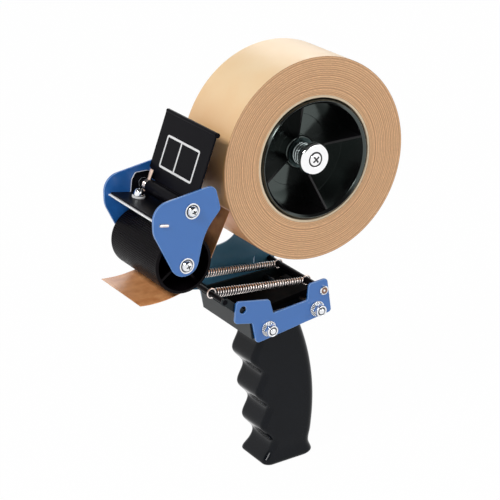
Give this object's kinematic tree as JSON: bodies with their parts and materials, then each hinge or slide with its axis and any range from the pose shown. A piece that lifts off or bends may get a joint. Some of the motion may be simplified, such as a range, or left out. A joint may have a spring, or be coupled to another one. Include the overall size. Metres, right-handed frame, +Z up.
{
  "type": "packing tape dispenser",
  "caption": "Hand-held packing tape dispenser with a moulded grip, blue side plates, a tape roll on a braked hub, a roller, a serrated blade with a swinging guard and extension springs.",
  "frame": {"origin": "middle of the flat butt of the handle", "axes": "+X the way the tape is pulled, +Y to the open side where the roll slides on, +Z up along the handle"},
  "size_m": [0.1865, 0.0782, 0.2659],
  "materials": {
    "grip_plastic": "satin moulded plastic",
    "roller_plastic": "satin moulded plastic",
    "hub_plastic": "satin moulded plastic",
    "tray_enamel": "dark grey enamel on pressed steel",
    "black_enamel": "black enamel on pressed steel",
    "blue_enamel": "blue enamel on steel sheet with bare cut edges",
    "bright_plating": "bright plated steel",
    "spring_wire": "plated spring wire",
    "blade_steel": "ground steel",
    "core_board": "pale cardboard",
    "tape_brown": "brown packing tape"
  },
  "bodies": {
    "handle": {"handle_grip": "grip_plastic", "handle_tray": "tray_enamel", "through_bolts": "bright_plating", "bolt_washers": "bright_plating", "lock_nuts": "bright_plating", "front_spring_bar": "black_enamel"},
    "frame": {"side_plate": "blue_enamel", "near_head_plate": "blue_enamel", "near_bracket": "blue_enamel", "far_bracket": "blue_enamel", "rear_spring_rod": "black_enamel", "roller_axle": "bright_plating", "guard_rod": "bright_plating", "head_screws": "bright_plating", "head_washers": "bright_plating", "blade": "blade_steel", "blade_bar": "bright_plating", "blade_holder": "black_enamel", "clamp_screws": "bright_plating", "clamp_nuts": "bright_plating", "hub_axle": "bright_plating", "hub_axle_nut": "bright_plating", "hub_axle_washer": "bright_plating", "brake_washer": "bright_plating", "brake_spring": "bright_plating", "tape_strip": "tape_brown", "near_spring": "spring_wire", "far_spring": "spring_wire"},
    "guard": {"guard_plate": "black_enamel", "guard_spring": "bright_plating"},
    "roll": {"roll_hub": "hub_plastic", "tape_core": "core_board", "tape_roll": "tape_brown"},
    "roller_body": {"roller": "roller_plastic"},
    "knob": {"brake_knob": "bright_plating"}
  },
  "joints": [
    {"name": "frame_rock", "type": "hinge", "parent": "handle", "child": "frame", "pos_m": [0.0208, 0, 0.1049], "axis": [0, 1, 0], "range_deg": [-4, 0], "stiffness_Nm_per_rad": 0.75, "springref_deg": 29.79, "deforming": ["near_spring", "far_spring"]},
    {"name": "guard_swing", "type": "hinge", "parent": "frame", "child": "guard", "pos_m": [0.0688, 0, 0.1924], "axis": [0, 1, 0], "range_deg": [0, 20], "stiffness_Nm_per_rad": 0.05, "springref_deg": -17.19},
    {"name": "roll_spin", "type": "hinge", "parent": "frame", "child": "roll", "pos_m": [-0.0205, 0, 0.2027], "axis": [0, 1, 0], "continuous": true},
    {"name": "roller_spin", "type": "hinge", "parent": "frame", "child": "roller_body", "pos_m": [0.0745, 0, 0.1597], "axis": [0, 1, 0], "continuous": true},
    {"name": "knob_turn", "type": "hinge", "parent": "frame", "child": "knob", "pos_m": [-0.0205, 0.0231, 0.2027], "axis": [0, 1, 0], "range_deg": [-180, 180]}
  ],
  "couplings": [
    {"joint": "roller_spin", "follows": "roll_spin", "ratio": -3.378}
  ]
}
